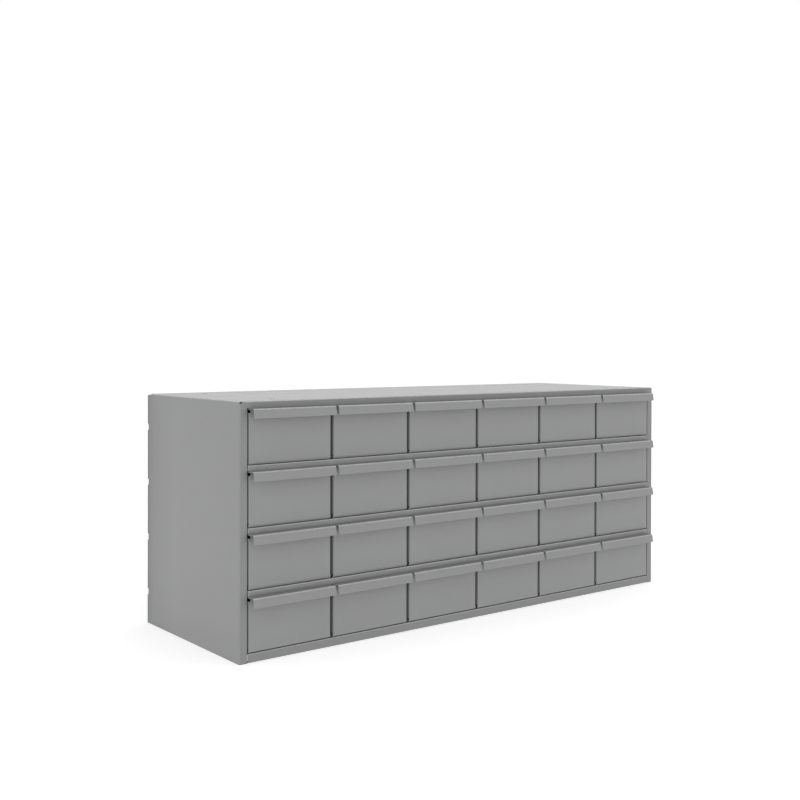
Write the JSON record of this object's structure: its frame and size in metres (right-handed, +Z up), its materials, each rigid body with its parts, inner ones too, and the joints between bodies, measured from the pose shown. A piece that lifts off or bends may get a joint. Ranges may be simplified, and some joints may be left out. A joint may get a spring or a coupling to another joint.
{
  "type": "parts bin cabinet",
  "caption": "Low steel cabinet of small open-topped drawers in rows, each drawer with a hooked full-width pull, sliding out along -Y on shelves with guide strips.",
  "frame": {"origin": "under the middle of the cabinet's overall box, pulls included, on the surface it stands on", "axes": "+Z up, -Y to the front, where the drawers open, +X to the right seen from the front"},
  "size_m": [0.8572, 0.3112, 0.3588],
  "materials": {
    "case_paint": "baked enamel, semi-gloss grey",
    "drawer_paint": "baked enamel, semi-gloss grey"
  },
  "bodies": {
    "case": {"case_shell": "case_paint", "case_bottom": "case_paint", "case_back": "case_paint", "shelf_1": "case_paint", "shelf_2": "case_paint", "shelf_3": "case_paint", "guide_row1_1": "case_paint", "guide_row1_2": "case_paint", "guide_row1_3": "case_paint", "guide_row1_4": "case_paint", "guide_row1_5": "case_paint", "guide_row1_6": "case_paint", "guide_row1_7": "case_paint", "guide_row2_1": "case_paint", "guide_row2_2": "case_paint", "guide_row2_3": "case_paint", "guide_row2_4": "case_paint", "guide_row2_5": "case_paint", "guide_row2_6": "case_paint", "guide_row2_7": "case_paint", "guide_row3_1": "case_paint", "guide_row3_2": "case_paint", "guide_row3_3": "case_paint", "guide_row3_4": "case_paint", "guide_row3_5": "case_paint", "guide_row3_6": "case_paint", "guide_row3_7": "case_paint", "guide_row4_1": "case_paint", "guide_row4_2": "case_paint", "guide_row4_3": "case_paint", "guide_row4_4": "case_paint", "guide_row4_5": "case_paint", "guide_row4_6": "case_paint", "guide_row4_7": "case_paint"},
    "drawer_row1_column1": {"drawer_row1_column1": "drawer_paint"},
    "drawer_row1_column2": {"drawer_row1_column2": "drawer_paint"},
    "drawer_row1_column3": {"drawer_row1_column3": "drawer_paint"},
    "drawer_row1_column4": {"drawer_row1_column4": "drawer_paint"},
    "drawer_row1_column5": {"drawer_row1_column5": "drawer_paint"},
    "drawer_row1_column6": {"drawer_row1_column6": "drawer_paint"},
    "drawer_row2_column1": {"drawer_row2_column1": "drawer_paint"},
    "drawer_row2_column2": {"drawer_row2_column2": "drawer_paint"},
    "drawer_row2_column3": {"drawer_row2_column3": "drawer_paint"},
    "drawer_row2_column4": {"drawer_row2_column4": "drawer_paint"},
    "drawer_row2_column5": {"drawer_row2_column5": "drawer_paint"},
    "drawer_row2_column6": {"drawer_row2_column6": "drawer_paint"},
    "drawer_row3_column1": {"drawer_row3_column1": "drawer_paint"},
    "drawer_row3_column2": {"drawer_row3_column2": "drawer_paint"},
    "drawer_row3_column3": {"drawer_row3_column3": "drawer_paint"},
    "drawer_row3_column4": {"drawer_row3_column4": "drawer_paint"},
    "drawer_row3_column5": {"drawer_row3_column5": "drawer_paint"},
    "drawer_row3_column6": {"drawer_row3_column6": "drawer_paint"},
    "drawer_row4_column1": {"drawer_row4_column1": "drawer_paint"},
    "drawer_row4_column2": {"drawer_row4_column2": "drawer_paint"},
    "drawer_row4_column3": {"drawer_row4_column3": "drawer_paint"},
    "drawer_row4_column4": {"drawer_row4_column4": "drawer_paint"},
    "drawer_row4_column5": {"drawer_row4_column5": "drawer_paint"},
    "drawer_row4_column6": {"drawer_row4_column6": "drawer_paint"}
  },
  "joints": [
    {"name": "slide_row1_column1", "type": "slide", "parent": "case", "child": "drawer_row1_column1", "axis": [0, -1, 0], "range_m": [0, 0.2886]},
    {"name": "slide_row1_column2", "type": "slide", "parent": "case", "child": "drawer_row1_column2", "axis": [0, -1, 0], "range_m": [0, 0.2886]},
    {"name": "slide_row1_column3", "type": "slide", "parent": "case", "child": "drawer_row1_column3", "axis": [0, -1, 0], "range_m": [0, 0.2886]},
    {"name": "slide_row1_column4", "type": "slide", "parent": "case", "child": "drawer_row1_column4", "axis": [0, -1, 0], "range_m": [0, 0.2886]},
    {"name": "slide_row1_column5", "type": "slide", "parent": "case", "child": "drawer_row1_column5", "axis": [0, -1, 0], "range_m": [0, 0.2886]},
    {"name": "slide_row1_column6", "type": "slide", "parent": "case", "child": "drawer_row1_column6", "axis": [0, -1, 0], "range_m": [0, 0.2886]},
    {"name": "slide_row2_column1", "type": "slide", "parent": "case", "child": "drawer_row2_column1", "axis": [0, -1, 0], "range_m": [0, 0.2886]},
    {"name": "slide_row2_column2", "type": "slide", "parent": "case", "child": "drawer_row2_column2", "axis": [0, -1, 0], "range_m": [0, 0.2886]},
    {"name": "slide_row2_column3", "type": "slide", "parent": "case", "child": "drawer_row2_column3", "axis": [0, -1, 0], "range_m": [0, 0.2886]},
    {"name": "slide_row2_column4", "type": "slide", "parent": "case", "child": "drawer_row2_column4", "axis": [0, -1, 0], "range_m": [0, 0.2886]},
    {"name": "slide_row2_column5", "type": "slide", "parent": "case", "child": "drawer_row2_column5", "axis": [0, -1, 0], "range_m": [0, 0.2886]},
    {"name": "slide_row2_column6", "type": "slide", "parent": "case", "child": "drawer_row2_column6", "axis": [0, -1, 0], "range_m": [0, 0.2886]},
    {"name": "slide_row3_column1", "type": "slide", "parent": "case", "child": "drawer_row3_column1", "axis": [0, -1, 0], "range_m": [0, 0.2886]},
    {"name": "slide_row3_column2", "type": "slide", "parent": "case", "child": "drawer_row3_column2", "axis": [0, -1, 0], "range_m": [0, 0.2886]},
    {"name": "slide_row3_column3", "type": "slide", "parent": "case", "child": "drawer_row3_column3", "axis": [0, -1, 0], "range_m": [0, 0.2886]},
    {"name": "slide_row3_column4", "type": "slide", "parent": "case", "child": "drawer_row3_column4", "axis": [0, -1, 0], "range_m": [0, 0.2886]},
    {"name": "slide_row3_column5", "type": "slide", "parent": "case", "child": "drawer_row3_column5", "axis": [0, -1, 0], "range_m": [0, 0.2886]},
    {"name": "slide_row3_column6", "type": "slide", "parent": "case", "child": "drawer_row3_column6", "axis": [0, -1, 0], "range_m": [0, 0.2886]},
    {"name": "slide_row4_column1", "type": "slide", "parent": "case", "child": "drawer_row4_column1", "axis": [0, -1, 0], "range_m": [0, 0.2886]},
    {"name": "slide_row4_column2", "type": "slide", "parent": "case", "child": "drawer_row4_column2", "axis": [0, -1, 0], "range_m": [0, 0.2886]},
    {"name": "slide_row4_column3", "type": "slide", "parent": "case", "child": "drawer_row4_column3", "axis": [0, -1, 0], "range_m": [0, 0.2886]},
    {"name": "slide_row4_column4", "type": "slide", "parent": "case", "child": "drawer_row4_column4", "axis": [0, -1, 0], "range_m": [0, 0.2886]},
    {"name": "slide_row4_column5", "type": "slide", "parent": "case", "child": "drawer_row4_column5", "axis": [0, -1, 0], "range_m": [0, 0.2886]},
    {"name": "slide_row4_column6", "type": "slide", "parent": "case", "child": "drawer_row4_column6", "axis": [0, -1, 0], "range_m": [0, 0.2886]}
  ]
}
